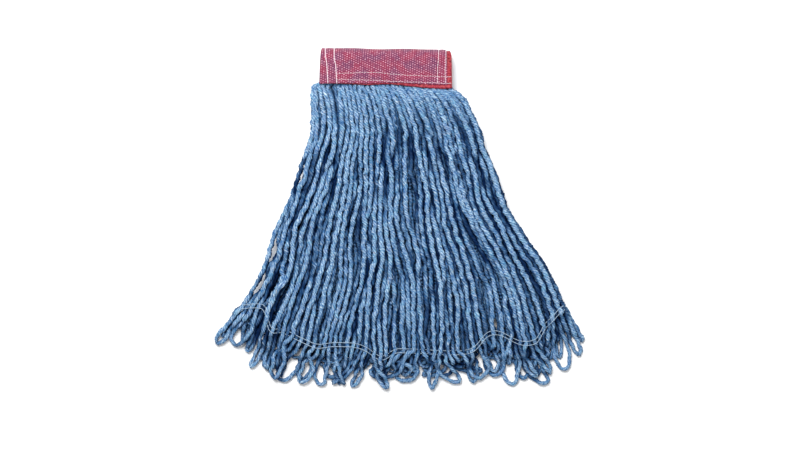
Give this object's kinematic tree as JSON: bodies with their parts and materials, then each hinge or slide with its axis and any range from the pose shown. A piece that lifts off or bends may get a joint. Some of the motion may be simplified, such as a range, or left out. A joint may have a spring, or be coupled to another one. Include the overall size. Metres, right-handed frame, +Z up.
{
  "type": "string mop head",
  "caption": "Looped-end wet mop head: twisted blended yarn folded in half, sewn under a wide mesh headband, with a stitched tail band above the loops.",
  "frame": {"origin": "on the floor, at the middle of the length and width of the mop head as it lies flat", "axes": "+Z up off the floor, towards the front face; +Y along the mop towards the headband's fold; +X to the right across the strands, seen from the front face"},
  "size_m": [0.516, 0.47, 0.0356],
  "materials": {
    "yarn": "matte",
    "band_mesh": "matte",
    "band_lining": "matte",
    "thread": "matte"
  },
  "bodies": {
    "back_half": {"headband_mesh_back": "band_mesh", "headband_lining_back": "band_lining", "yarn_under_band_back": "yarn", "yarn_fold_back": "yarn", "seam_thread_back_upper": "thread", "seam_thread_back_lower": "thread", "end_thread_back_left_outer": "thread", "end_thread_back_left_inner": "thread", "end_thread_back_right_inner": "thread", "end_thread_back_right_outer": "thread", "hank_back_1": "yarn", "hank_back_2": "yarn", "hank_back_3": "yarn", "hank_back_4": "yarn", "hank_back_5": "yarn", "loops_back_1": "yarn", "loops_back_2": "yarn", "loops_back_3": "yarn", "loops_back_4": "yarn", "loops_back_5": "yarn", "tail_thread_back_upper": "thread", "tail_thread_back_lower": "thread"},
    "front_band": {"headband_mesh_front": "band_mesh", "headband_lining_front": "band_lining", "yarn_under_band_front": "yarn", "yarn_fold_front": "yarn", "seam_thread_front_upper": "thread", "seam_thread_front_lower": "thread", "end_thread_front_left_outer": "thread", "end_thread_front_left_inner": "thread", "end_thread_front_right_inner": "thread", "end_thread_front_right_outer": "thread"},
    "front_skirt": {"hank_front_upper_1": "yarn", "hank_front_upper_2": "yarn", "hank_front_upper_3": "yarn", "hank_front_upper_4": "yarn", "hank_front_upper_5": "yarn"},
    "front_tail": {"hank_front_lower_1": "yarn", "hank_front_lower_2": "yarn", "hank_front_lower_3": "yarn", "hank_front_lower_4": "yarn", "hank_front_lower_5": "yarn", "loops_front_1": "yarn", "loops_front_2": "yarn", "loops_front_3": "yarn", "loops_front_4": "yarn", "loops_front_5": "yarn", "tail_thread_front_upper": "thread", "tail_thread_front_lower": "thread"}
  },
  "joints": [
    {"name": "headband_fold", "type": "hinge", "parent": "back_half", "child": "front_band", "pos_m": [-0.0165, 0.235, 0.018], "axis": [-1, 0, 0], "range_deg": [0, 110]},
    {"name": "front_skirt_lift", "type": "hinge", "parent": "front_band", "child": "front_skirt", "pos_m": [-0.0165, 0.183, 0.0358], "axis": [-1, 0, 0], "range_deg": [0, 40]},
    {"name": "front_tail_lift", "type": "hinge", "parent": "front_skirt", "child": "front_tail", "pos_m": [0, -0.0199, 0.0266], "axis": [-1, 0, 0], "range_deg": [0, 30]}
  ]
}
